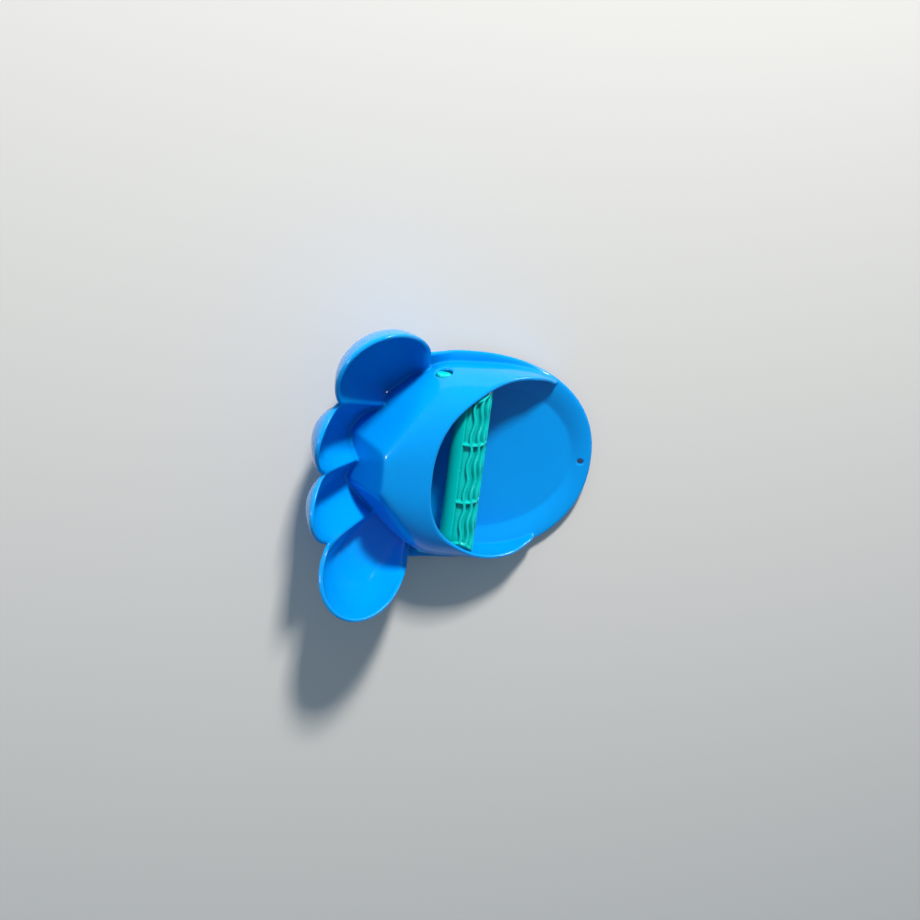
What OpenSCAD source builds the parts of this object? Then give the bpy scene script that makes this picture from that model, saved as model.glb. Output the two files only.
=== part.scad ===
// Hand-worn sand scoop: a one-piece moulded shell with a four-lobed digging blade,
// and a separate grip bar that snaps into two holes in the side walls.
// X runs from the wrist to the fingertips, Y across the hand, Z up from the back of the shell.
// Heights are measured from the plate level, which lies plate_z above the bench.

/* [Shell] */
// Wall thickness of the moulding
wall = 2.5; // [2:0.1:3.5]
// How far the flat floor lies below the plate level
floor_depth = 4; // [2:0.5:6]

/* [Plate] */
// From the wrist edge to the widest line of the plate
plate_reach = 80; // [76:1:88]
// Half width of the plate, to the edge of its flange
plate_half_width = 61.5; // [58:0.5:63]
// Squareness of the plate outline, 2 is an ellipse
plate_squareness = 2.2; // [2:0.05:2.6]
// Length of the flat floor
floor_length = 112; // [100:1:116]
// Width of the flat floor
floor_width = 88; // [76:1:92]
// From the wrist edge to the back of the flat floor
floor_start = 10; // [8:1:14]
// Rise of the rounded crest along the flange
lip_rise = 1.2; // [0.5:0.1:2]
// Drop of the flange edge below its crest
lip_drop = 2; // [1:0.1:3]

/* [Blade] */
// From the wrist edge to the middle notch
middle_notch_x = 157.5; // [152:0.5:162]
// From the wrist edge to the side notches
side_notch_x = 152; // [147:0.5:156]
// Distance from the middle notch across to a side notch
notch_pitch = 40; // [37:0.5:42]
// Height of the notches
notch_height = 34; // [28:1:38]
// Radius of the inner lobes, seen from above
inner_lobe_radius = 27; // [24:0.5:32]
// How far the inner lobes rise above their notches
inner_lobe_rise = 18; // [12:1:22]
// Radius of the outer lobes, seen from above
outer_lobe_radius = 26; // [24:0.5:28]
// Centre of an outer lobe along the hand
outer_lobe_x = 131; // [127:0.5:135]
// Centre of an outer lobe across the hand
outer_lobe_y = 53; // [50:0.5:56]
// How far the outer lobes rise above the line between their ends
outer_lobe_rise = 33; // [26:1:38]
// Where the blade meets the plate flange along the hand
waist_x = 103; // [100:0.5:106]
// Height of the rim at the waist
waist_height = 3; // [1:0.5:6]
// How far the inner lobes curl past upright, in degrees
inner_curl = 12; // [4:1:18]
// How far the outer lobes curl past upright, in degrees
outer_curl = 2; // [0:1:8]

/* [Hood] */
// Height of the hood's crown at its mouth
hood_height = 38; // [34:0.5:42]
// Fall of the crown from the mouth to the nose
hood_fall = 6; // [3:0.5:8]
// Width of the flange outside the hood's foot
flange_width = 5; // [4:0.5:6.5]
// Where the sides start to run in to the nose
shoulder_x = 97; // [94:0.5:100]
// Half width of the hood at the shoulder
shoulder_half_width = 55; // [52:0.5:57]
// Where the hood's toe meets the blade
toe_x = 136.5; // [134:0.5:139]
// Half width of the hood at the toe
toe_half_width = 20; // [17:0.5:24]
// From the lugs' axis to the upper ridge of the nose's flat front
nose_reach = 30.5; // [28:0.5:33]
// Slope of the flat front of the nose, in degrees
facet_angle = 68; // [64:1:72]
// Half width of the flat front along its upper ridge
nose_half_width = 12; // [10:0.5:14]
// Slope of the bevel on each side of the nose, seen along the hand, in degrees
bevel_angle = 60; // [56:1:64]
// Angle between the bevel's upper ridge and the hand's length, in degrees
bevel_turn = 52; // [48:1:56]
// Where the mouth's plane meets the side walls' ends
mouth_x = 24; // [20:0.5:28]
// Height of the mouth's plane there
mouth_height = 6; // [4:0.5:8]
// Slope of the mouth's plane, in degrees
mouth_angle = 22; // [20:0.5:24]
// Where the side walls run out into the flange
mouth_end_x = 25; // [23:0.5:28]
// Slope of the side walls' ends, in degrees
mouth_end_angle = 38; // [34:1:50]

/* [Holes] */
// Diameter of the hanging hole
hang_hole_diameter = 3.2; // [2.6:0.1:4]
// From the wrist edge to the hanging hole
hang_hole_x = 4.5; // [4:0.1:6]
// Diameter of the holes that hold the grip
lug_hole_diameter = 9; // [7:0.1:11]

/* [Grip] */
// Diameter of the grip bar
grip_diameter = 20; // [17:0.5:22]
// Axis of the bar along the hand
grip_x = 78; // [75:0.5:81]
// Height of the bar's axis
grip_height = 17.5; // [16.5:0.5:19]
// Axis of the lugs along the hand
lug_x = 95; // [92:0.5:97]
// Height of the lugs' axis
lug_height = 12; // [9:0.5:14]
// Clearance of the lugs in their holes, on the radius
lug_clearance = 0.2; // [0.1:0.05:0.4]
// How far the lugs' ends lie inside the outer face of the walls
lug_recess = 0.7; // [0.5:0.1:2]
// Thickness of the cheeks
cheek_thickness = 3; // [2:0.5:4]
// Gap between the grip's ends and the inside of the hood
grip_clearance = 0.4; // [0.3:0.1:0.8]
// Width of the plain rim at each end of the ribbed panel
end_rim = 1.2; // [1:0.1:3]
// Depth of the ribbed panel
panel_depth = 2.4; // [1.5:0.1:3.5]
// Angle from straight up, towards the fingers, where the panel starts
panel_start = 30; // [15:1:45]
// Angle that the panel spans round the bar
panel_span = 160; // [120:1:180]
// Number of wavy ribs in the panel
rib_count = 5; // [3:1:6]
// Width of a rib
rib_width = 1.8; // [1.2:0.1:2.4]
// How far a rib waves to each side
rib_wave = 1.1; // [0.4:0.1:1.4]
// Length of one wave
rib_period = 16; // [12:0.5:24]
// From the middle of the bar to each cross rib
cross_rib_y = 17; // [12:0.5:24]

/* [Hidden] */

plate_z = floor_depth + wall;
floor_x = floor_start + floor_length / 2;
facet_x = lug_x + nose_reach;
ridge_exponent = 1.1;
trough_exponent = 2.2;
plate_exponent = 1.3;
notch_turn = 38;
waist_turn = 54;
soft_edge = 1.5;
soft_bevel = 2.5;
hood_start = 20;
reach_past = 2;
cheek_foot = 1.3;
lobe_steps = 12;
outer_steps = 20;
plate_steps = 22;
ring_steps = 9;
arch_steps = 26;
hood_steps = 30;
rib_steps = 48;

function mix(a, b, t) = a + (b - a) * t;
function clamp01(t) = max(0, min(1, t));
function ease(x, a, b) = let (t = clamp01((x - a) / (b - a))) t * t * (3 - 2 * t);
function power(x, e) = sign(x) * pow(abs(x), e);

// The lower of two heights or widths, with the corner between them rounded over about k
function soft_min(a, b, k) = -k * ln(exp(-a / k) + exp(-b / k));

// A point on the rim is [x, y, height, profile exponent, turn on the floor ellipse, curl, lip share].

// Inner lobe, from the middle notch (t = 0) to the side notch (t = 1), as one arc
function inner_lobe(t) =
    let (chord = [side_notch_x - middle_notch_x, notch_pitch],
         half = norm(chord) / 2,
         out = [chord.y, -chord.x] / norm(chord),
         bow = asin(half / inner_lobe_radius),
         centre = [middle_notch_x, 0] + chord / 2 - out * inner_lobe_radius * cos(bow),
         a = atan2(out.y, out.x) + mix(-bow, bow, t),
         s = sin(180 * t))
    [centre.x + inner_lobe_radius * cos(a), centre.y + inner_lobe_radius * sin(a),
     notch_height + inner_lobe_rise * s, mix(ridge_exponent, trough_exponent, s),
     notch_turn * t, inner_curl * s, 0];

// Outer lobe, from the side notch (t = 0) round to the waist (t = 1)
function outer_lobe(t) =
    let (first = [side_notch_x - outer_lobe_x, notch_pitch - outer_lobe_y],
         last = [waist_x - outer_lobe_x, plate_edge_y(waist_x) - outer_lobe_y],
         a = mix(atan2(first.y, first.x), atan2(last.y, last.x), t),
         r = outer_lobe_radius + (norm(first) - outer_lobe_radius) * pow(1 - t, 4)
             + (norm(last) - outer_lobe_radius) * pow(t, 4),
         cupped = sin(90 * min(1, t / 0.3)))
    [outer_lobe_x + r * cos(a), outer_lobe_y + r * sin(a),
     mix(notch_height, waist_height, t) + outer_lobe_rise * pow(sin(180 * t), 0.7),
     mix(mix(ridge_exponent, trough_exponent, cupped), plate_exponent, ease(t, 0.6, 1)),
     mix(notch_turn, waist_turn, t), outer_curl * cupped * (1 - ease(t, 0.45, 0.95)), 0];

// Half width of the plate at x, to the edge of its flange
function plate_edge_y(x) =
    plate_half_width * pow(1 - pow(abs(plate_reach - x) / plate_reach, plate_squareness), 1 / plate_squareness);

// Plate flange, from the waist (t = 0) round to the middle of the wrist edge (t = 1)
function plate_edge(t) =
    let (first = acos(pow((waist_x - plate_reach) / plate_reach, plate_squareness / 2)),
         a = mix(first, 180, t))
    [plate_reach + plate_reach * power(cos(a), 2 / plate_squareness),
     plate_half_width * power(sin(a), 2 / plate_squareness),
     waist_height * (1 - ease(t, 0, 0.12)), plate_exponent, mix(waist_turn, 180, t), 0, ease(t, 0, 0.12)];

half_rim = [
    for (i = [0 : lobe_steps - 1]) inner_lobe(i / lobe_steps),
    for (i = [0 : outer_steps - 1]) outer_lobe(i / outer_steps),
    for (i = [0 : plate_steps]) plate_edge(i / plate_steps)];
half_count = len(half_rim);
rim_count = 2 * half_count - 2;

// Point of the sheet at place i round the rim and share f from the floor's edge to the rim,
// moved out from the palm side by the thickness d
function sheet_point(i, f, d) =
    let (right = i < half_count,
         r = half_rim[right ? i : rim_count - i],
         foot = [floor_x + floor_length / 2 * cos(r[4]), floor_width / 2 * sin(r[4])],
         full = 90 + r[5],
         e = 2 / r[3],
         p = power(sin(f * full), e) / power(sin(full), e),
         q = (1 - power(cos(f * full), e)) / (1 - power(cos(full), e)),
         run = [r.x, r.y] - foot,
         k = p * (1 + d / norm(run) * min(1, 2 * f)),
         lip = r[6] * (lip_rise * pow(sin(180 * f), 2) - lip_drop * pow(f, 4)),
         h = mix(-floor_depth, r.z, q) + lip - d * (1 - f * f))
    [foot.x + run.x * k, (foot.y + run.y * k) * (right ? 1 : -1), h];

// One surface of the sheet: rings of points from the floor's edge out to the rim
function sheet_rings(d) = [
    for (j = [0 : ring_steps]) for (i = [0 : rim_count - 1]) sheet_point(i, j / ring_steps, d)];

// Two triangles between neighbouring points of two rows of points that start at a and b
function strip(a, b, i, n) = let (k = (i + 1) % n) [[a + i, a + k, b + k], [a + i, b + k, b + i]];

// Triangles over rows of n points, starting at index first
function rows(first, n, count, flip) = [
    for (j = [0 : count - 1]) for (i = [0 : n - 1])
        for (f = strip(first + j * n, first + (j + 1) * n, i, n)) flip ? [f[2], f[1], f[0]] : f];

// Triangles from one point to a closed row of n points
function fan(centre, first, n, flip) = [
    for (i = [0 : n - 1]) let (k = (i + 1) % n)
        flip ? [centre, first + k, first + i] : [centre, first + i, first + k]];

sheet_ends = [for (i = [0 : rim_count - 1]) sheet_point(i, 1, wall).x, sheet_point(0, 0.8, wall).x];
middle_x = (max([for (i = [0 : rim_count - 1]) for (f = [0.7 : 0.05 : 1]) sheet_point(i, f, wall).x])
            + min(sheet_ends)) / 2;

// Plate and blade: one curved sheet of even thickness
module sheet() {
    n = rim_count;
    size = (ring_steps + 1) * n;
    points = concat(sheet_rings(0), sheet_rings(wall),
                    [[floor_x, 0, -floor_depth], [floor_x, 0, -floor_depth - wall]]);
    faces = concat(
        rows(0, n, ring_steps, false), rows(size, n, ring_steps, true),
        fan(2 * size, 0, n, true), fan(2 * size + 1, size, n, false),
        [for (i = [0 : n - 1]) for (f = strip(ring_steps * n, size + ring_steps * n, i, n)) f]);
    polyhedron(points, faces);
}

// Space on the palm side of the sheet, starting half way into its thickness
module palm_side() {
    n = rim_count;
    top = 3 * hood_height;
    last = (ring_steps + 1) * n;
    points = concat(
        sheet_rings(wall / 2),
        [for (i = [0 : n - 1]) let (p = sheet_point(i, 1, wall / 2)) [p.x, p.y, top]],
        [[floor_x, 0, -floor_depth - wall / 2], [floor_x, 0, top]]);
    faces = concat(
        rows(0, n, ring_steps + 1, true),
        fan(last + n, 0, n, false), fan(last + n + 1, last, n, true));
    polyhedron(points, faces);
}

// Half width of the hood's cavity at its foot
function hood_half_width(x) =
    let (side = plate_edge_y(x) - wall - flange_width * ease(x, mouth_x, plate_reach),
         slant = shoulder_half_width - (x - shoulder_x) * (shoulder_half_width - toe_half_width) / (toe_x - shoulder_x))
    soft_min(side, slant, 2 * soft_edge);

// Squareness of the hood's arch at x, 2 is an ellipse
function hood_squareness(x) = 2.5 + 0.7 * (1 - ease(x, 43, 86)) + 0.5 * ease(x, 98, 123);

// Height of the crown inside the hood at x
function crown_height(x) = hood_height - hood_fall * ease(x, 83, 148);

// Half width of the hood's cavity at x and at the height h
function cavity_half_width(x, h) =
    let (n = hood_squareness(x))
    hood_half_width(x) * pow(1 - pow(h / crown_height(x), n), 1 / n);

// Point of the hood at x and at angle a over the arch, moved out from the cavity by d
function hood_point(x, a, d) =
    let (n = hood_squareness(x),
         y = (hood_half_width(x) + d) * power(cos(a), 2 / n),
         arch = (crown_height(x) + d) * power(sin(a), 2 / n),
         level = crown_height(facet_x),
         facet = level - (x - facet_x) * tan(facet_angle) + d / cos(facet_angle),
         past_ridge = abs(y) - nose_half_width - (facet_x - x) * tan(bevel_turn),
         bevel = level - past_ridge * tan(bevel_angle) + d * norm([1, tan(bevel_angle) / cos(bevel_turn)]))
    [x, y, soft_min(soft_min(arch, bevel, soft_bevel), facet, soft_edge)];

// Closed body under the hood's arch, from x = start to the toe
module hood_body(start, d) {
    n = arch_steps + 3;
    stop = toe_x + 9;
    low = -floor_depth - 2 * wall + d;
    points = [
        for (j = [0 : hood_steps]) let (x = mix(start, stop, 1 - pow(1 - j / hood_steps, 1.4)))
            for (i = [-1 : arch_steps + 1])
                let (p = hood_point(x, 180 * clamp01(i / arch_steps), d))
                [p.x, p.y, i < 0 || i > arch_steps ? low : max(p.z, low + soft_edge)]];
    faces = concat(
        rows(0, n, hood_steps, true),
        [for (i = [1 : n - 2]) [0, i, i + 1]],
        [for (i = [1 : n - 2]) let (b = hood_steps * n) [b, b + i + 1, b + i]]);
    polyhedron(points, faces);
}

// Everything above a plane that passes x at the height h and slopes up towards the fingers
module above_plane(x, h, slope) {
    span = 2 * plate_reach;
    translate([x, 0, h])
        rotate([0, -slope, 0])
            translate([-span, -span, 0])
                cube([3 * span, 2 * span, span]);
}

// Finger hood: an arched wall standing on the plate and blade
module hood() {
    intersection() {
        difference() {
            hood_body(hood_start, wall);
            hood_body(hood_start - reach_past, 0);
            above_plane(mouth_x, mouth_height, mouth_angle);
            above_plane(mouth_end_x, 0, mouth_end_angle);
        }
        palm_side();
    }
}

module paw_shell() {
    color("deepskyblue")
        translate([-middle_x, 0, plate_z])
            difference() {
                // The sheet and the hood are one moulding
                resize([0, 0, 0]) {
                    sheet();
                    hood();
                }
                translate([hang_hole_x, 0, -plate_z])
                    cylinder(d = hang_hole_diameter, h = 2 * plate_z, $fn = 48);
                translate([lug_x, 0, lug_height])
                    rotate([90, 0, 0])
                        cylinder(d = lug_hole_diameter, h = 3 * plate_half_width, center = true, $fn = 64);
            }
}

grip_radius = grip_diameter / 2;
grip_end = cavity_half_width(lug_x, lug_height + lug_hole_diameter / 2) - grip_clearance;
lug_end = cavity_half_width(lug_x, lug_height) + wall - lug_recess;
core_radius = grip_radius - panel_depth;
rib_end = grip_end - end_rim / 2;
window_ends = [-grip_end, -cross_rib_y, cross_rib_y, grip_end];

// One wavy rib along the bar, with its middle at the angle a
module wavy_rib(a) {
    half = rib_width / 2 / grip_radius * 180 / PI;
    wave = rib_wave / grip_radius * 180 / PI;
    outer = grip_radius - rib_width / 10;
    inner = core_radius - rib_width / 2;
    points = [
        for (j = [0 : rib_steps])
            let (y = mix(-rib_end, rib_end, j / rib_steps), b = a + wave * sin(360 * y / rib_period))
                for (c = [[inner, -half], [inner, half], [outer, half], [outer, -half]])
                    [c[0] * cos(b + c[1]), c[0] * sin(b + c[1]), y]];
    faces = concat(
        rows(0, 4, rib_steps, false),
        [[0, 2, 1], [0, 3, 2]],
        let (b = rib_steps * 4) [[b, b + 1, b + 2], [b, b + 2, b + 3]]);
    polyhedron(points, faces);
}

// Puts something that stands along the bar's axis in its place
module along_bar() {
    translate([grip_x, 0, grip_height])
        rotate([90, 0, 0])
            children();
}

// Recesses of the ribbed panel, with an even rim left along the side walls
module panel_windows() {
    intersection() {
        along_bar()
            for (k = [0 : 2])
                translate([0, 0, window_ends[k] + rib_width / 2])
                    rotate([0, 0, 90 - panel_start])
                        rotate_extrude(angle = panel_span, $fn = 72)
                            translate([core_radius, 0])
                                square([grip_radius, window_ends[k + 1] - window_ends[k] - rib_width]);
        hood_body(hood_start, -grip_clearance - end_rim);
    }
}

// Bar with its ribbed panel
module ribbed_bar() {
    difference() {
        along_bar()
            cylinder(r = grip_radius, h = 2 * grip_end - cheek_thickness, center = true, $fn = 64);
        panel_windows();
    }
    along_bar()
        for (k = [1 : rib_count])
            wavy_rib(90 - panel_start + panel_span * k / (rib_count + 1));
}

// Flat cheek at one end, from the bar forward to the lug and down to the floor
module cheek() {
    hull() {
        cylinder(r = grip_radius - end_rim / 3, h = cheek_thickness, $fn = 48);
        translate([lug_x - grip_x, lug_height - grip_height, 0])
            cylinder(d = lug_hole_diameter + 2 * cheek_thickness, h = cheek_thickness, $fn = 48);
        translate([0, -grip_height - cheek_foot, 0])
            cube([lug_x - grip_x, cheek_thickness, cheek_thickness]);
    }
}

module grip() {
    color("turquoise")
        translate([-middle_x, 0, plate_z]) {
            // The bar and its cheeks are shaped to the inside of the hood
            resize([0, 0, 0])
                intersection() {
                    union() {
                        ribbed_bar();
                        along_bar()
                            for (side = [0, 1])
                                mirror([0, 0, side])
                                    translate([0, 0, grip_end - cheek_thickness])
                                        cheek();
                    }
                    hood_body(hood_start, -grip_clearance);
                }
            for (side = [0, 1])
                mirror([0, side, 0])
                    translate([lug_x, grip_end - cheek_thickness / 2, lug_height])
                        rotate([-90, 0, 0])
                            cylinder(d = lug_hole_diameter - 2 * lug_clearance,
                                     h = lug_end - grip_end + cheek_thickness / 2, $fn = 64);
        }
}

paw_shell();
grip();
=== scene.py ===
"""Hand-worn sand scoop: a moulded shell with a four-lobed blade, and a grip bar snapped across it."""
import math

import bpy
import numpy as np
from mathutils import Matrix, Vector
from mathutils.bvhtree import BVHTree


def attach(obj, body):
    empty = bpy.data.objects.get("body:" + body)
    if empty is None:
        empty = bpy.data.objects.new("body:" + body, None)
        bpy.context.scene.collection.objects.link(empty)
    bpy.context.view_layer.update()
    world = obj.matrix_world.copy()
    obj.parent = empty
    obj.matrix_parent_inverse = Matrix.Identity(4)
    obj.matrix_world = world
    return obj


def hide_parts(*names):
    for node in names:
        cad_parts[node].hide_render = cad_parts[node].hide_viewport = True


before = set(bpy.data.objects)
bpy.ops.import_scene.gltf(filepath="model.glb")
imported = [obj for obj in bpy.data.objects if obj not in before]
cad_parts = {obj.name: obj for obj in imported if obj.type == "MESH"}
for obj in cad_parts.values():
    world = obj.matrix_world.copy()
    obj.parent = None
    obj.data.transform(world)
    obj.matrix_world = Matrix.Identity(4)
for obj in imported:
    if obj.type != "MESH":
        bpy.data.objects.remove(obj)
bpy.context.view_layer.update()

# Sizes of the part are in millimetres and degrees.
# x runs from the wrist edge, y across the hand and z up from the plate's level.

# Plate and floor
WALL = 2.5
FLOOR_DEPTH = 4.0
PLATE_Z = FLOOR_DEPTH + WALL
PLATE_REACH = 80.0
PLATE_HALF_WIDTH = 61.5
PLATE_SQUARENESS = 2.2
FLOOR_LENGTH = 112.0
FLOOR_WIDTH = 88.0
FLOOR_START_X = 10.0
FLOOR_X = FLOOR_START_X + FLOOR_LENGTH / 2
LIP_RISE = 1.2
LIP_DROP = 2.0
LIP_GROWTH = 0.12
HANG_HOLE_X = 4.5
HANG_HOLE_RADIUS = 1.6
# The part's frame has its origin under the middle of its length.
MIDDLE_X = 82.4326
MM_PER_METRE = 1000

# Blade of four lobes
MIDDLE_NOTCH_X = 157.5
SIDE_NOTCH_X = 152.0
NOTCH_PITCH = 40.0
NOTCH_HEIGHT = 34.0
NOTCH_TURN = 38.0
INNER_LOBE_RADIUS = 27.0
INNER_LOBE_RISE = 18.0
INNER_CURL = 12.0
OUTER_LOBE_RADIUS = 26.0
OUTER_LOBE_X = 131.0
OUTER_LOBE_Y = 53.0
OUTER_LOBE_RISE = 33.0
OUTER_RISE_EXPONENT = 0.7
OUTER_RADIUS_EXPONENT = 4
OUTER_CURL = 2.0
OUTER_CURL_FADE = (0.45, 0.95)
OUTER_CUP_GROWTH = 0.3
OUTER_FLATTENING = (0.6, 1)
WAIST_X = 103.0
WAIST_HEIGHT = 3.0
WAIST_TURN = 54.0
RIDGE_EXPONENT = 1.1
TROUGH_EXPONENT = 2.2
PLATE_EXPONENT = 1.3

# Hood
HOOD_HEIGHT = 38.0
HOOD_FALL = 6.0
HOOD_FALL_X = (83, 148)
HOOD_SQUARENESS = 2.5
MOUTH_EXTRA_SQUARENESS = 0.7
MOUTH_SQUARENESS_X = (43, 86)
TOE_EXTRA_SQUARENESS = 0.5
TOE_SQUARENESS_X = (98, 123)
FLANGE_WIDTH = 5.0
SHOULDER_X = 97.0
SHOULDER_HALF_WIDTH = 55.0
TOE_X = 136.5
TOE_HALF_WIDTH = 20.0
NOSE_REACH = 30.5
NOSE_HALF_WIDTH = 12.0
FACET_ANGLE = 68.0
BEVEL_ANGLE = 60.0
BEVEL_TURN = 52.0
MOUTH_X = 24.0
MOUTH_HEIGHT = 6.0
MOUTH_ANGLE = 22.0
MOUTH_END_X = 25.0
MOUTH_END_ANGLE = 38.0
SOFT_EDGE = 1.5
SOFT_NOSE = 0.8
SOFT_BEVEL = 2.5

# Grip and its lugs
LUG_X = 95.0
FACET_X = LUG_X + NOSE_REACH
LUG_HEIGHT = 12.0
LUG_HOLE_RADIUS = 4.5
LUG_CLEARANCE = 0.2
LUG_RECESS = 0.7
LUG_ROOT = 2
# Rounding of a lug's end, as steps in from its radius and back from its end
LUG_ROUNDING = ((0, 0.7), (0.1, 0.35), (0.35, 0.1), (0.7, 0))
GRIP_RADIUS = 10.0
GRIP_X = 78.0
GRIP_HEIGHT = 17.5
GRIP_CLEARANCE = 0.4
BAR_END_ROUND = 0.7
CHEEK_THICKNESS = 3.0
CHEEK_FOOT = 1.3
CHEEK_INSET = 0.4
CHEEK_CORNER = 1.2
# Rounding of a cheek's edge, as shares of its outline and depths below its face
CHEEK_ROUNDING = ((0.9, 0), (0.97, 0.1), (1.0, 0.5))
END_RIM = 1.2
PANEL_DEPTH = 2.4
PANEL_START = 30.0
PANEL_SPAN = 160.0
RIB_COUNT = 5
RIB_WIDTH = 1.8
RIB_WAVE = 0.75
RIB_PERIOD = 17.0
RIB_SOFTNESS = 0.35
RIB_FOOT_SPREAD = 1.6
CROSS_RIB_Y = 17.0

# Camera, in degrees and millimetres, and its picture in pixels
CAMERA_AZIMUTH = -13.90
CAMERA_ELEVATION = 19.64
CAMERA_ROLL = 7.19
CAMERA_SIDEWAYS = -77.24
CAMERA_UPWARD = 1.88
CAMERA_DISTANCE = 733.7
STAND_START_X = 2.0
SENSOR_WIDTH = 36
FOCAL_PIXELS = 1250
IMAGE_PIXELS = 920

# Looks and stage
PLASTIC = {
    "Coat Weight": 0.1,
    "Coat Roughness": 0.06,
    "Specular IOR Level": 0.3,
    "IOR": 1.5,
    "Subsurface Weight": 0.12,
    "Subsurface Radius": (0.2, 0.6, 1.0),
    "Subsurface Scale": 0.002,
}
RUBBED_ROUGHNESS = 0.09
# Places of the colour sockets on a mix node, which share their names with other sockets
MIX_COLOUR_A = 6
MIX_COLOUR_B = 7
MIX_COLOUR_RESULT = 2
STAGE_HALF_WIDTH = 6
LIGHT_AIM_Z = 0.02


def ease(x, a, b):
    """0 below a, 1 above b, and a smooth step between."""
    t = np.clip((x - a) / (b - a), 0, 1)
    return t * t * (3 - 2 * t)


def power(x, e):
    """Power that keeps the sign."""
    return np.sign(x) * np.abs(x) ** e


def mix(a, b, t):
    """Straight blend from a to b."""
    return a + (b - a) * t


def soft_min(a, b, k):
    """The lower of two heights or widths, with the corner between them rounded over about k."""
    return -k * np.logaddexp(-a / k, -b / k)


def blend_min(a, b, k):
    """The smaller of two distances, rounded over k where they meet."""
    h = np.clip(1 - np.abs(a - b) / k, 0, 1)
    return np.minimum(a, b) - h * h * k / 4


def grid_faces(rows, columns, closed):
    """Quads over a grid of points, row by row, closed round its columns or open."""
    i = np.arange(rows - 1)[:, None]
    j = np.arange(columns if closed else columns - 1)[None, :]
    k = (j + 1) % columns
    quads = np.stack([i * columns + j, i * columns + k, (i + 1) * columns + k, (i + 1) * columns + j], -1)
    return quads.reshape(-1, 4)


def capped_faces(rows, columns, side):
    """Faces over a stack of closed rings with flat ends, turned outwards on either side of the part."""
    faces = grid_faces(rows, columns, True).tolist()
    faces.append(list(range(columns))[::-1])
    faces.append([(rows - 1) * columns + i for i in range(columns)])
    if side > 0:
        faces = [f[::-1] for f in faces]
    return faces


def plate_edge_y(x):
    """Half width of the plate at x, to the edge of its flange."""
    s = PLATE_SQUARENESS
    return PLATE_HALF_WIDTH * np.maximum(1 - (np.abs(PLATE_REACH - x) / PLATE_REACH) ** s, 0) ** (1 / s)


# A row of a rim holds x, y, height, the exponent of the section that rises to it, the turn of that section's
# foot round the floor, its curl past upright, and its share of the lip.


def inner_lobe(t):
    """Rim of an inner lobe, from the middle notch to the side notch."""
    chord = np.array([SIDE_NOTCH_X - MIDDLE_NOTCH_X, NOTCH_PITCH])
    long = np.linalg.norm(chord)
    out = np.array([chord[1], -chord[0]]) / long
    bow = math.asin(long / 2 / INNER_LOBE_RADIUS)
    centre = np.array([MIDDLE_NOTCH_X, 0]) + chord / 2 - out * INNER_LOBE_RADIUS * math.cos(bow)
    a = math.atan2(out[1], out[0]) + mix(-bow, bow, t)
    s = np.sin(np.pi * t)
    return np.stack([
        centre[0] + INNER_LOBE_RADIUS * np.cos(a), centre[1] + INNER_LOBE_RADIUS * np.sin(a),
        NOTCH_HEIGHT + INNER_LOBE_RISE * s, mix(RIDGE_EXPONENT, TROUGH_EXPONENT, s),
        NOTCH_TURN * t, INNER_CURL * s, 0 * t], 1)


def outer_lobe(t):
    """Rim of an outer lobe, from the side notch to the waist."""
    first = np.array([SIDE_NOTCH_X - OUTER_LOBE_X, NOTCH_PITCH - OUTER_LOBE_Y])
    last = np.array([WAIST_X - OUTER_LOBE_X, plate_edge_y(WAIST_X) - OUTER_LOBE_Y])
    a = mix(math.atan2(first[1], first[0]), math.atan2(last[1], last[0]), t)
    r = (OUTER_LOBE_RADIUS + (np.linalg.norm(first) - OUTER_LOBE_RADIUS) * (1 - t) ** OUTER_RADIUS_EXPONENT
         + (np.linalg.norm(last) - OUTER_LOBE_RADIUS) * t ** OUTER_RADIUS_EXPONENT)
    cupped = np.sin(np.pi / 2 * np.minimum(1, t / OUTER_CUP_GROWTH))
    bowl = mix(RIDGE_EXPONENT, TROUGH_EXPONENT, cupped)
    rise = OUTER_LOBE_RISE * np.abs(np.sin(np.pi * t)) ** OUTER_RISE_EXPONENT
    return np.stack([
        OUTER_LOBE_X + r * np.cos(a), OUTER_LOBE_Y + r * np.sin(a),
        mix(NOTCH_HEIGHT, WAIST_HEIGHT, t) + rise, mix(bowl, PLATE_EXPONENT, ease(t, *OUTER_FLATTENING)),
        mix(NOTCH_TURN, WAIST_TURN, t), OUTER_CURL * cupped * (1 - ease(t, *OUTER_CURL_FADE)), 0 * t], 1)


def plate_edge(t):
    """Edge of the flange, from the waist to the middle of the wrist end."""
    e = 2 / PLATE_SQUARENESS
    first = math.acos(((WAIST_X - PLATE_REACH) / PLATE_REACH) ** (1 / e))
    a = mix(first, np.pi, t)
    lip = ease(t, 0, LIP_GROWTH)
    return np.stack([
        PLATE_REACH + PLATE_REACH * power(np.cos(a), e), PLATE_HALF_WIDTH * power(np.sin(a), e),
        WAIST_HEIGHT * (1 - lip), PLATE_EXPONENT + 0 * t, mix(WAIST_TURN, 180.0, t), 0 * t, lip], 1)


def sheet_points(rim, f, d):
    """Points of the plate and blade at the share f from the floor's edge to the rim, moved out by d."""
    _, _, height, exponent, turn, curl, lip_share = rim.T
    turn = np.radians(turn)
    foot = np.stack([FLOOR_X + FLOOR_LENGTH / 2 * np.cos(turn), FLOOR_WIDTH / 2 * np.sin(turn)], 1)
    full = np.radians(90 + curl)
    e = 2 / exponent
    p = power(np.sin(f * full), e) / power(np.sin(full), e)
    q = (1 - power(np.cos(f * full), e)) / (1 - power(np.cos(full), e))
    run = rim[:, :2] - foot
    k = p * (1 + d / np.linalg.norm(run, axis=1) * np.minimum(1, 2 * f))
    lip = lip_share * (LIP_RISE * np.sin(np.pi * f) ** 2 - LIP_DROP * f ** 4)
    z = mix(-FLOOR_DEPTH, height, q) + lip - d * (1 - f * f)
    return np.column_stack([foot + run * k[:, None], z])


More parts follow.
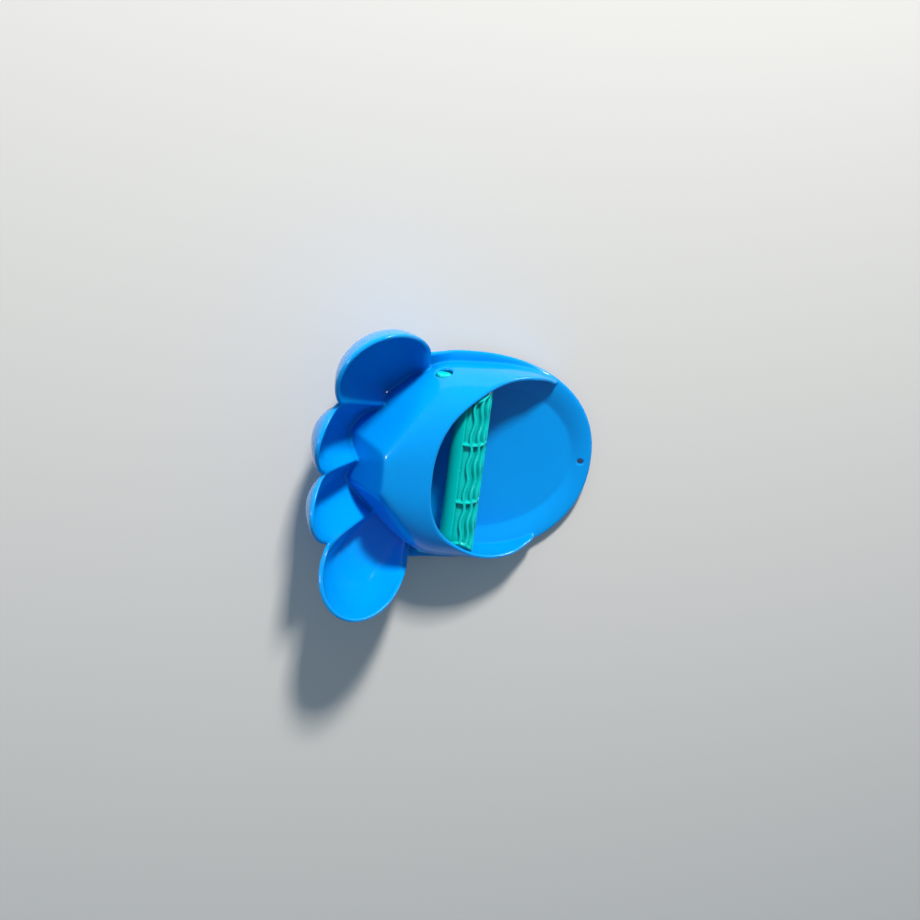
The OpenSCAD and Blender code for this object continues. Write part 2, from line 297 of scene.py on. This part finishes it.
def rim_share(half):
    """Share f at which the sheet's middle stops, so that its round edge ends close to the rim."""
    least_share = 0.4
    tries = 240
    edge_room = 0.42 * WALL
    shares = np.linspace(1, least_share, tries)
    path = np.stack([sheet_points(half, np.full(len(half), f), WALL / 2) for f in shares])
    back = np.cumsum(np.linalg.norm(np.diff(path, axis=0), axis=2), axis=0)
    return np.array([np.interp(edge_room, back[:, i], shares[1:]) for i in range(len(half))])


def sheet_middle():
    """The surface half way through the plate and blade, short of the rim by about half the wall."""
    inner_steps = 80
    outer_steps = 130
    edge_steps = 150
    rings = 90
    half = np.concatenate([
        inner_lobe(np.arange(inner_steps) / inner_steps),
        outer_lobe(np.arange(outer_steps) / outer_steps),
        plate_edge(np.linspace(0, 1, edge_steps))])
    end = rim_share(half)
    rows = []
    for j in range(rings + 1):
        right = sheet_points(half, end * j / rings, WALL / 2)
        left = right[-2:0:-1] * (1, -1, 1)
        rows.append(np.concatenate([right, left]))
    round_count = len(rows[0])
    points = np.concatenate(rows + [np.array([[FLOOR_X, 0, -FLOOR_DEPTH - WALL / 2]])])
    faces = [tuple(f) for f in grid_faces(rings + 1, round_count, True)[:, ::-1].tolist()]
    middle = len(points) - 1
    faces += [(middle, i, (i + 1) % round_count) for i in range(round_count)]
    return points, faces


def hood_half_width(x):
    """Half width of the hood's cavity at its foot."""
    side = plate_edge_y(x) - WALL - FLANGE_WIDTH * ease(x, MOUTH_X, PLATE_REACH)
    slope = (SHOULDER_HALF_WIDTH - TOE_HALF_WIDTH) / (TOE_X - SHOULDER_X)
    slant = SHOULDER_HALF_WIDTH - (x - SHOULDER_X) * slope
    return soft_min(side, slant, 2 * SOFT_EDGE)


def hood_squareness(x):
    """Squareness of the hood's arch at x, 2 is an ellipse."""
    near_mouth = MOUTH_EXTRA_SQUARENESS * (1 - ease(x, *MOUTH_SQUARENESS_X))
    near_toe = TOE_EXTRA_SQUARENESS * ease(x, *TOE_SQUARENESS_X)
    return HOOD_SQUARENESS + near_mouth + near_toe


def crown_height(x):
    """Height of the crown inside the hood at x."""
    return HOOD_HEIGHT - HOOD_FALL * ease(x, *HOOD_FALL_X)


def cavity_half_width(x, z):
    """Half width of the hood's cavity at x and at the height z."""
    n = hood_squareness(x)
    share = np.clip(np.maximum(z, 0) / crown_height(x), 0, 1)
    return hood_half_width(x) * (1 - share ** n) ** (1 / n)


def hood_points(x, a, d):
    """Points of the hood at x and at the angle a over the arch, moved out from the cavity by d."""
    e = 2 / hood_squareness(x)
    y = (hood_half_width(x) + d) * power(np.cos(a), e)
    arch = (crown_height(x) + d) * power(np.sin(a), e)
    level = crown_height(FACET_X)
    facet_slope = math.radians(FACET_ANGLE)
    facet = level - (x - FACET_X) * math.tan(facet_slope) + d / math.cos(facet_slope)
    steep = math.tan(math.radians(BEVEL_ANGLE))
    turn = math.radians(BEVEL_TURN)
    past_ridge = abs(y) - NOSE_HALF_WIDTH - (FACET_X - x) * math.tan(turn)
    bevel = level - past_ridge * steep + d * math.hypot(1, steep / math.cos(turn))
    z = soft_min(soft_min(arch, bevel, SOFT_BEVEL), facet, SOFT_NOSE)
    return np.stack([x + 0 * a, y, z], -1)


def mouth_starts(turns):
    """Where the hood's wall starts along the hand at each angle over its arch."""
    search_x = (20, 118)
    tries = 800
    smoothed_over = 5
    xs = np.linspace(*search_x, tries)
    points = hood_points(xs[:, None], turns[None, :], WALL / 2)
    normals = np.cross(np.gradient(points, axis=0), np.gradient(points, axis=1))
    normals /= np.linalg.norm(normals, axis=-1, keepdims=True)
    starts = np.full(len(turns), xs[0])
    for x, z, angle in ((MOUTH_X, MOUTH_HEIGHT, MOUTH_ANGLE), (MOUTH_END_X, 0.0, MOUTH_END_ANGLE)):
        slope = math.radians(angle)
        lean = np.abs(normals[..., 2] * math.cos(slope) - normals[..., 0] * math.sin(slope))
        # The wall's round end reaches the line where the plane meets the inside of the hood.
        spare = WALL / 2 * (lean - np.sqrt(np.maximum(0, 1 - lean ** 2)))
        over = points[..., 2] - z - (points[..., 0] - x) * math.tan(slope) - spare / math.cos(slope)
        last = np.where((over > 0).any(0), len(xs) - 1 - np.argmax(over[::-1] > 0, axis=0), 0)
        starts = np.maximum(starts, xs[last])
    kernel = np.ones(smoothed_over) / smoothed_over
    return np.convolve(np.pad(starts, smoothed_over // 2, mode="edge"), kernel, mode="valid")


def hood_middle(sheet_tree):
    """The surface half way through the hood's wall, from mouth to toe, less what is under the sheet."""
    arch_steps = 260
    long_steps = 200
    past_toe = 9
    foot_depth = 8
    foot_steps = 12
    ray_lift = Vector((0, 0, 1e-3))
    down = Vector((0, 0, -1))
    turns = np.linspace(0, np.pi, arch_steps)
    starts = mouth_starts(turns)
    share = np.linspace(0, 1, long_steps)[:, None]
    arch = hood_points(starts + (TOE_X + past_toe - starts) * share, turns[None, :] + 0 * share, WALL / 2)
    feet = np.linspace(-foot_depth, 0, foot_steps)[:-1]
    sides = []
    for edge in (arch[:, :1], arch[:, -1:]):
        foot = np.repeat(edge, len(feet), axis=1)
        foot[..., 2] = np.minimum(feet[None, :], edge[..., 2])
        sides.append(foot)
    grid = np.concatenate([sides[0], arch, sides[1][:, ::-1]], 1)
    points = grid.reshape(-1, 3)
    below = [sheet_tree.ray_cast(Vector(p) + ray_lift, down)[0] for p in points.tolist()]
    buried = np.array([spot is None for spot in below])
    faces = grid_faces(grid.shape[0], grid.shape[1], False)
    return points, faces[~buried[faces].all(1)].tolist()


def nearest(tree, points, reach):
    """Distance from each point to a surface, and on which side of it the point lies."""
    gap = np.full(len(points), reach)
    side = np.zeros(len(points))
    for i, p in enumerate(points.tolist()):
        spot, normal, _, d = tree.find_nearest(p, reach)
        if spot is not None:
            gap[i] = d
            side[i] = ((p[0] - spot[0]) * normal[0] + (p[1] - spot[1]) * normal[1]
                       + (p[2] - spot[2]) * normal[2])
    return gap, side


class Shell:
    """The moulding as a distance field: negative inside the wall."""

    reach = 6.0
    far = 9.0
    fillet = 1.8
    hole_rounding = 0.8
    side_wall_y = 30

    def __init__(self):
        points, faces = sheet_middle()
        self.sheet = BVHTree.FromPolygons(points.tolist(), faces)
        points, faces = hood_middle(self.sheet)
        self.hood = BVHTree.FromPolygons(points.tolist(), faces)

    def rough(self, points):
        """Distance to the nearer of the two middle surfaces."""
        to_sheet = nearest(self.sheet, points, self.far)[0]
        to_hood = nearest(self.hood, points, self.far)[0]
        return np.minimum(to_sheet, to_hood)

    def value(self, points):
        """Signed distance to the surface of the moulding, for points with y of either sign."""
        p = points.copy()
        p[:, 1] = np.abs(p[:, 1])
        to_sheet, side = nearest(self.sheet, p, self.reach)
        to_hood = nearest(self.hood, p, self.reach)[0]
        joined = np.where(side > 0, blend_min(to_sheet, to_hood, self.fillet), np.minimum(to_sheet, to_hood))
        d = joined - WALL / 2
        hang = np.hypot(p[:, 0] - HANG_HOLE_X, p[:, 1]) - HANG_HOLE_RADIUS
        lug = np.hypot(p[:, 0] - LUG_X, p[:, 2] - LUG_HEIGHT) - LUG_HOLE_RADIUS
        lug = np.where(p[:, 1] > self.side_wall_y, lug, self.far)
        hole = np.minimum(hang, lug)
        return -blend_min(-d, hole, self.hole_rounding)


def surface_net(field, low, step):
    """Quads over the surface where the field changes sign, one point in each cell that it crosses."""
    inside = field < 0
    shape = np.array(field.shape) - 1
    corner = [(a, b, c) for a in (0, 1) for b in (0, 1) for c in (0, 1)]

    def shifted(array, c):
        return array[c[0]:c[0] + shape[0], c[1]:c[1] + shape[1], c[2]:c[2] + shape[2]]

    count = sum(shifted(inside, c).astype(np.int8) for c in corner)
    cells = np.argwhere((count > 0) & (count < len(corner)))
    number = np.full(shape, -1)
    number[tuple(cells.T)] = np.arange(len(cells))
    values = np.stack([field[tuple((cells + c).T)] for c in corner], 1)
    total = np.zeros((len(cells), 3))
    hits = np.zeros(len(cells))
    for i, a in enumerate(corner):
        for j, b in enumerate(corner):
            if j > i and sum(abs(np.subtract(a, b))) == 1:
                crossed = (values[:, i] < 0) != (values[:, j] < 0)
                t = values[:, i] / np.where(crossed, values[:, i] - values[:, j], 1)
                spot = np.array(a) + t[:, None] * np.subtract(b, a)
                total += np.where(crossed[:, None], spot, 0)
                hits += crossed
    points = low + step * (cells + total / hits[:, None])
    faces = []
    for axis in range(3):
        other = [k for k in range(3) if k != axis]
        ahead = [slice(None)] * 3
        ahead[axis] = slice(1, None)
        behind = [slice(None)] * 3
        behind[axis] = slice(None, -1)
        first = inside[tuple(behind)]
        edge = np.argwhere(first != inside[tuple(ahead)])
        ok = np.all((edge[:, other] > 0) & (edge[:, other] < np.array(field.shape)[other] - 1), axis=1)
        edge = edge[ok]
        around = []
        for da, db in ((-1, -1), (0, -1), (0, 0), (-1, 0)):
            cell = edge.copy()
            cell[:, other[0]] += da
            cell[:, other[1]] += db
            around.append(number[tuple(cell.T)])
        quad = np.stack(around, 1)
        flip = first[tuple(edge.T)] != (axis != 1)
        quad[flip] = quad[flip][:, ::-1]
        faces.append(quad)
    return points, np.concatenate(faces)


def point_normals(points, quads):
    """Unit normal at each point, averaged over its quads."""
    least_length = 1e-12
    across = np.cross(points[quads[:, 2]] - points[quads[:, 0]], points[quads[:, 3]] - points[quads[:, 1]])
    total = np.zeros_like(points)
    for k in range(4):
        for axis in range(3):
            total[:, axis] += np.bincount(quads[:, k], across[:, axis], len(points))
    return total / np.maximum(np.linalg.norm(total, axis=1), least_length)[:, None]


def relax(points, quads, rounds):
    """Evens out the points, each step in followed by one out so that the shape hardly shrinks."""
    step_in = 0.5
    step_out = -0.52
    start = quads.ravel()
    stop = np.roll(quads, -1, axis=1).ravel()
    size = len(points)
    links = np.bincount(start, minlength=size) + np.bincount(stop, minlength=size)
    for step in [step_in, step_out] * rounds:
        mean = np.stack([
            np.bincount(start, points[stop, k], size) + np.bincount(stop, points[start, k], size)
            for k in range(3)], 1) / np.maximum(links, 1)[:, None]
        points = points + step * (mean - points)
    return points


def shell_mesh():
    """The whole moulding as one closed mesh of quads, in millimetres."""
    step = 0.8
    block = 4
    low = np.array([-4.5, 0.0, -9.0])
    high = np.array([171.0, 85.5, 57.0])
    half_diagonal = 0.87
    spare_steps = 1.6
    far_value = 4.0
    most_move = 0.5
    first_rounds = 4
    fits = 2
    last_rounds = 2
    shell = Shell()
    size = np.ceil((high - low) / step / block).astype(int)
    index = np.stack(np.meshgrid(*[np.arange(n) for n in size], indexing="ij"), -1).reshape(-1, 3)
    centres = low + (index * block + (block - 1) / 2) * step
    near = shell.rough(centres) < WALL / 2 + step * block * half_diagonal + spare_steps * step
    field = np.full(size * block, far_value)
    inner = np.stack(np.meshgrid(*[np.arange(block)] * 3, indexing="ij"), -1).reshape(-1, 3)
    fine = (index[near][:, None, :] * block + inner[None]).reshape(-1, 3)
    field[tuple(fine.T)] = shell.value(low + fine * step)
    both = np.concatenate([field[:, :0:-1], field], axis=1)
    start = low - (0, (field.shape[1] - 1) * step, 0)
    points, quads = surface_net(both, start, step)
    points = relax(points, quads, first_rounds)
    for _ in range(fits):
        normals = point_normals(points, quads)
        move = np.clip(shell.value(points), -most_move, most_move)
        points = points - normals * move[:, None]
    return relax(points, quads, last_rounds), quads.tolist()


def grip_half_length():
    """Half the length of the grip between the hood's side walls, beside the lugs."""
    return cavity_half_width(LUG_X, LUG_HEIGHT + LUG_HOLE_RADIUS) - GRIP_CLEARANCE


def bar_radius(turn, y, end):
    """Radius of the grip bar at an angle from straight up towards the wrist, with its ribbed panel."""
    degrees = np.degrees(turn)
    first = -PANEL_START
    last = PANEL_SPAN - PANEL_START
    arc = math.radians(1) * GRIP_RADIUS
    edge = np.minimum((degrees - first) * arc, (last - degrees) * arc)
    edge = np.minimum(edge, end - END_RIM - np.abs(y))
    edge = np.minimum(edge, np.abs(np.abs(y) - CROSS_RIB_Y) - RIB_WIDTH / 2)
    recess = ease(edge, -RIB_SOFTNESS, RIB_SOFTNESS)
    wave = np.degrees(RIB_WAVE / GRIP_RADIUS) * np.sin(2 * np.pi * y / RIB_PERIOD)
    for k in range(1, RIB_COUNT + 1):
        middle = first + PANEL_SPAN * k / (RIB_COUNT + 1) + wave
        away = np.abs(degrees - middle) * arc
        recess = recess * ease(
            away, RIB_WIDTH / 2 - RIB_SOFTNESS, RIB_WIDTH / 2 + RIB_SOFTNESS * RIB_FOOT_SPREAD)
    return GRIP_RADIUS - PANEL_DEPTH * recess


def bar_mesh():
    """Grip bar with its ribbed panel and its ends shaped to the hood."""
    around = 300
    along = 320
    cap_shares = (0.9, 0.7, 0.45, 0.2)
    round_from = 0.9
    round_to = 0.5
    turn = np.radians(-90 - PANEL_START) + np.linspace(0, 2 * np.pi, around, endpoint=False)
    limit = grip_half_length()

    def end_at(x, z):
        return np.minimum(cavity_half_width(x, z) - GRIP_CLEARANCE, limit)

    end = end_at(GRIP_X - GRIP_RADIUS * np.sin(turn), GRIP_HEIGHT + GRIP_RADIUS * np.cos(turn))
    rows = []
    for s in np.linspace(-1, 1, along):
        y = s * end
        r = bar_radius(turn, y, end) - BAR_END_ROUND * ease(np.abs(y), end - round_from, end + round_to)
        rows.append(np.stack([GRIP_X - r * np.sin(turn), y, GRIP_HEIGHT + r * np.cos(turn)], 1))
    caps = []
    for side in (-1, 1):
        cap = []
        for share in cap_shares:
            x = GRIP_X - GRIP_RADIUS * share * np.sin(turn)
            z = GRIP_HEIGHT + GRIP_RADIUS * share * np.cos(turn)
            cap.append(np.stack([x, side * end_at(x, z), z], 1))
        caps.append(cap)
    rows = caps[0][::-1] + rows + caps[1]
    points = np.concatenate(rows + [
        np.array([[GRIP_X, -limit, GRIP_HEIGHT]]), np.array([[GRIP_X, limit, GRIP_HEIGHT]])])
    faces = grid_faces(len(rows), around, True).tolist()
    first = len(points) - 2
    base = (len(rows) - 1) * around
    for i in range(around):
        k = (i + 1) % around
        faces.append([first, k, i])
        faces.append([first + 1, base + i, base + k])
    return points, faces


def cheek_mesh(side):
    """Cheek at one end of the bar: a plate with rounded edges from the bar to the lug and the floor."""
    outline_steps = 96
    limit = grip_half_length()
    lug_x = LUG_X - GRIP_X
    foot_z = CHEEK_CORNER - GRIP_HEIGHT - CHEEK_FOOT
    # Circles in the grip's frame, as x, z and radius, that the outline is stretched round
    circles = [
        (0.0, 0.0, GRIP_RADIUS - CHEEK_INSET),
        (lug_x, LUG_HEIGHT - GRIP_HEIGHT, LUG_HOLE_RADIUS + CHEEK_THICKNESS),
        (lug_x - CHEEK_CORNER, foot_z, CHEEK_CORNER),
        (CHEEK_CORNER, foot_z, CHEEK_CORNER)]
    outline = []
    for a in np.linspace(0, 2 * np.pi, outline_steps, endpoint=False):
        way = np.array([math.cos(a), math.sin(a)])
        x, z, r = max(circles, key=lambda c: way @ np.array(c[:2]) + c[2])
        outline.append(np.array([x, z]) + r * way)
    outline = np.array(outline)
    middle = outline.mean(0)
    inner = limit - CHEEK_THICKNESS
    layers = [(shrink, inner + depth) for shrink, depth in CHEEK_ROUNDING]
    layers += [(shrink, limit - depth) for shrink, depth in CHEEK_ROUNDING[::-1]]
    rows = []
    for shrink, y in layers:
        flat = middle + (outline - middle) * shrink
        x = GRIP_X + flat[:, 0]
        z = GRIP_HEIGHT + flat[:, 1]
        room = cavity_half_width(x, z) - GRIP_CLEARANCE - (limit - y)
        rows.append(np.stack([x, side * np.minimum(y, room), z], 1))
    return np.concatenate(rows), capped_faces(len(rows), outline_steps, side)


def lug_mesh(side):
    """Round lug from one cheek into the hole in the side wall, with a rounded end."""
    sides = 64
    end = cavity_half_width(LUG_X, LUG_HEIGHT) + WALL - LUG_RECESS
    radius = LUG_HOLE_RADIUS - LUG_CLEARANCE
    profile = [(radius, grip_half_length() - LUG_ROOT)]
    profile += [(radius - step_in, end - step_back) for step_in, step_back in LUG_ROUNDING]
    turn = np.linspace(0, 2 * np.pi, sides, endpoint=False)
    rows = []
    for r, y in profile:
        x = LUG_X + r * np.cos(turn)
        z = LUG_HEIGHT + r * np.sin(turn)
        rows.append(np.stack([x, 0 * turn + side * y, z], 1))
    return np.concatenate(rows), capped_faces(len(rows), sides, side)


def cheeks_mesh():
    """Both cheeks with their lugs."""
    points = []
    faces = []
    count = 0
    for side in (-1, 1):
        for some_points, some_faces in (cheek_mesh(side), lug_mesh(side)):
            points.append(some_points)
            faces += [[i + count for i in f] for f in some_faces]
            count += len(some_points)
    return np.concatenate(points), faces


def new_object(name, points, faces, material):
    """Mesh object in the part's frame from points in millimetres."""
    spots = (np.asarray(points) + (-MIDDLE_X, 0, PLATE_Z)) / MM_PER_METRE
    mesh = bpy.data.meshes.new(name)
    mesh.from_pydata(spots.tolist(), [], [tuple(f) for f in faces])
    mesh.polygons.foreach_set("use_smooth", [True] * len(mesh.polygons))
    mesh.validate()
    piece = bpy.data.objects.new(name, mesh)
    bpy.context.scene.collection.objects.link(piece)
    piece.data.materials.append(material)
    return piece


def noise(tree, scale, detail, rough=0.5):
    """Noise over a piece's own coordinates."""
    place = tree.nodes.new("ShaderNodeTexCoord")
    texture = tree.nodes.new("ShaderNodeTexNoise")
    texture.inputs["Scale"].default_value = scale
    texture.inputs["Detail"].default_value = detail
    texture.inputs["Roughness"].default_value = rough
    tree.links.new(place.outputs["Object"], texture.inputs["Vector"])
    return texture.outputs["Fac"]


def ramp(tree, source, low, high):
    """Colours over a value, from low to high, each a position and a colour."""
    colours = tree.nodes.new("ShaderNodeValToRGB")
    for element, (position, colour) in zip(colours.color_ramp.elements, (low, high)):
        element.position = position
        element.color = (*colour, 1)
    tree.links.new(source, colours.inputs["Fac"])
    return colours.outputs["Color"]


def plastic(name, colour, dark, rough):
    """Moulded plastic: colour that drifts a little, painted shade that darkens its hollows, faint rubbed
    patches and a fine grain.
    """
    material = bpy.data.materials.new(name)
    material.use_nodes = True
    tree = material.node_tree
    link = tree.links.new
    main = tree.nodes["Principled BSDF"]
    for socket, value in PLASTIC.items():
        main.inputs[socket].default_value = value

    tint = ramp(tree, noise(tree, scale=18, detail=3), (0.3, dark), (0.72, colour))
    # Painted shade: the base colour is darkened in hollows, creases and recesses where less light reaches, by
    # an occlusion test over 6 mm.
    painted_shade_occlusion = tree.nodes.new("ShaderNodeAmbientOcclusion")
    painted_shade_occlusion.samples = 8
    painted_shade_occlusion.inputs["Distance"].default_value = 0.006
    painted_shade_colour = ramp(tree, painted_shade_occlusion.outputs["AO"], (0.3, (0.5, 0.58, 0.62)), (0.85, (1, 1, 1)))
    painted_shade_mix = tree.nodes.new("ShaderNodeMix")
    painted_shade_mix.data_type = "RGBA"
    painted_shade_mix.blend_type = "MULTIPLY"
    painted_shade_mix.inputs["Factor"].default_value = 1.0
    link(tint, painted_shade_mix.inputs[MIX_COLOUR_A])
    link(painted_shade_colour, painted_shade_mix.inputs[MIX_COLOUR_B])
    link(painted_shade_mix.outputs[MIX_COLOUR_RESULT], main.inputs["Base Color"])

    gloss = tree.nodes.new("ShaderNodeMapRange")
    gloss.inputs["From Min"].default_value = 0.35
    gloss.inputs["From Max"].default_value = 0.75
    gloss.inputs["To Min"].default_value = rough
    gloss.inputs["To Max"].default_value = rough + RUBBED_ROUGHNESS
    link(noise(tree, scale=60, detail=6, rough=0.65), gloss.inputs["Value"])
    link(gloss.outputs["Result"], main.inputs["Roughness"])

    bump = tree.nodes.new("ShaderNodeBump")
    bump.inputs["Strength"].default_value = 0.04
    bump.inputs["Distance"].default_value = 0.0003
    link(noise(tree, scale=900, detail=2), bump.inputs["Height"])
    link(bump.outputs["Normal"], main.inputs["Normal"])
    return material


def floor_material():
    """Pale matt ground with a very faint drift."""
    material = bpy.data.materials.new("pale_floor")
    material.use_nodes = True
    tree = material.node_tree
    main = tree.nodes["Principled BSDF"]
    main.inputs["Roughness"].default_value = 0.8
    drift = tree.nodes.new("ShaderNodeTexNoise")
    drift.inputs["Scale"].default_value = 3
    tint = ramp(tree, drift.outputs["Fac"], (0, (0.70, 0.68, 0.65)), (1, (0.74, 0.72, 0.69)))
    tree.links.new(tint, main.inputs["Base Color"])
    return material


def new_floor():
    """Plain square ground under the part."""
    h = STAGE_HALF_WIDTH
    mesh = bpy.data.meshes.new("floor")
    mesh.from_pydata([(-h, -h, 0), (h, -h, 0), (h, h, 0), (-h, h, 0)], [], [(0, 1, 2, 3)])
    ground = bpy.data.objects.new("floor", mesh)
    ground.data.materials.append(floor_material())
    bpy.context.scene.collection.objects.link(ground)
    return ground


def carried(v):
    """A direction of the stand that the camera was fitted on, turned into the part's frame."""
    return Vector((-v[0], -v[2], -v[1]))


def new_camera():
    """Camera at the photo's angle, fitted to it with the part standing on its side."""
    azimuth = math.radians(CAMERA_AZIMUTH)
    elevation = math.radians(CAMERA_ELEVATION)
    roll = math.radians(CAMERA_ROLL)
    level = math.cos(elevation)
    back = Vector((math.sin(azimuth) * level, -math.cos(azimuth) * level, math.sin(elevation)))
    right = Vector((math.cos(azimuth), math.sin(azimuth), 0))
    up = back.cross(right)
    side_axis = right * math.cos(roll) + up * math.sin(roll)
    up_axis = up * math.cos(roll) - right * math.sin(roll)
    spot = side_axis * CAMERA_SIDEWAYS + up_axis * CAMERA_UPWARD + back * CAMERA_DISTANCE
    place = carried(spot) + Vector((-STAND_START_X - MIDDLE_X, 0, PLATE_Z))
    axes = Matrix((carried(side_axis), carried(up_axis), carried(back))).transposed()
    made = bpy.data.objects.new("camera", bpy.data.cameras.new("camera"))
    made.matrix_world = Matrix.Translation(place / MM_PER_METRE) @ axes.to_4x4()
    made.data.sensor_width = SENSOR_WIDTH
    made.data.lens = SENSOR_WIDTH * FOCAL_PIXELS / IMAGE_PIXELS
    made.data.clip_start = 0.01
    bpy.context.scene.collection.objects.link(made)
    return made


def area_light(name, way, distance, size, watts, colour):
    """Square soft light that looks at the part from a direction."""
    data = bpy.data.lights.new(name, "AREA")
    data.shape = "SQUARE"
    data.size = size
    data.energy = watts
    data.color = colour
    light = bpy.data.objects.new(name, data)
    way = Vector(way).normalized()
    light.location = Vector((0, 0, LIGHT_AIM_Z)) + way * distance
    light.rotation_mode = "QUATERNION"
    light.rotation_quaternion = way.to_track_quat("Z", "Y")
    bpy.context.scene.collection.objects.link(light)
    return light


def light_stage():
    """A warm key and a cool fill for the form, two small lights for glints alone, and a pale blue sky."""
    key = area_light(
        "key", way=(0.0, -0.85, 0.53), distance=1.6, size=0.2, watts=34, colour=(1.0, 0.97, 0.92))
    fill = area_light(
        "fill", way=(0.3, -0.9, 0.35), distance=1.8, size=1.8, watts=4, colour=(0.95, 0.97, 1.0))
    for light in (key, fill):
        light.visible_glossy = False
    for name, way in (("nose_glint", (0.78, -0.20, 0.60)), ("rim_glint", (-0.72, -0.62, 0.28))):
        glint = area_light(name, way, distance=1.3, size=0.12, watts=10, colour=(1.0, 1.0, 1.0))
        glint.visible_diffuse = False
    world = bpy.data.worlds.new("studio")
    world.use_nodes = True
    sky = world.node_tree.nodes["Background"]
    sky.inputs["Color"].default_value = (0.55, 0.78, 1.0, 1)
    sky.inputs["Strength"].default_value = 0.28
    bpy.context.scene.world = world
    bpy.context.scene.view_settings.view_transform = "Standard"


blue = plastic("blue_plastic", colour=(0.0, 0.33, 0.86), dark=(0.0, 0.30, 0.80), rough=0.16)
teal = plastic("teal_plastic", colour=(0.0, 0.66, 0.60), dark=(0.0, 0.61, 0.56), rough=0.24)

shell_piece = new_object("scoop_shell", *shell_mesh(), blue)
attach(shell_piece, "root")
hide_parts("paw_shell")

bar_piece = new_object("grip_bar", *bar_mesh(), teal)
cheek_piece = new_object("grip_cheeks", *cheeks_mesh(), teal)
for piece in (bar_piece, cheek_piece):
    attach(piece, "root")
    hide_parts("grip")

floor = new_floor()
bpy.context.scene.camera = new_camera()
light_stage()
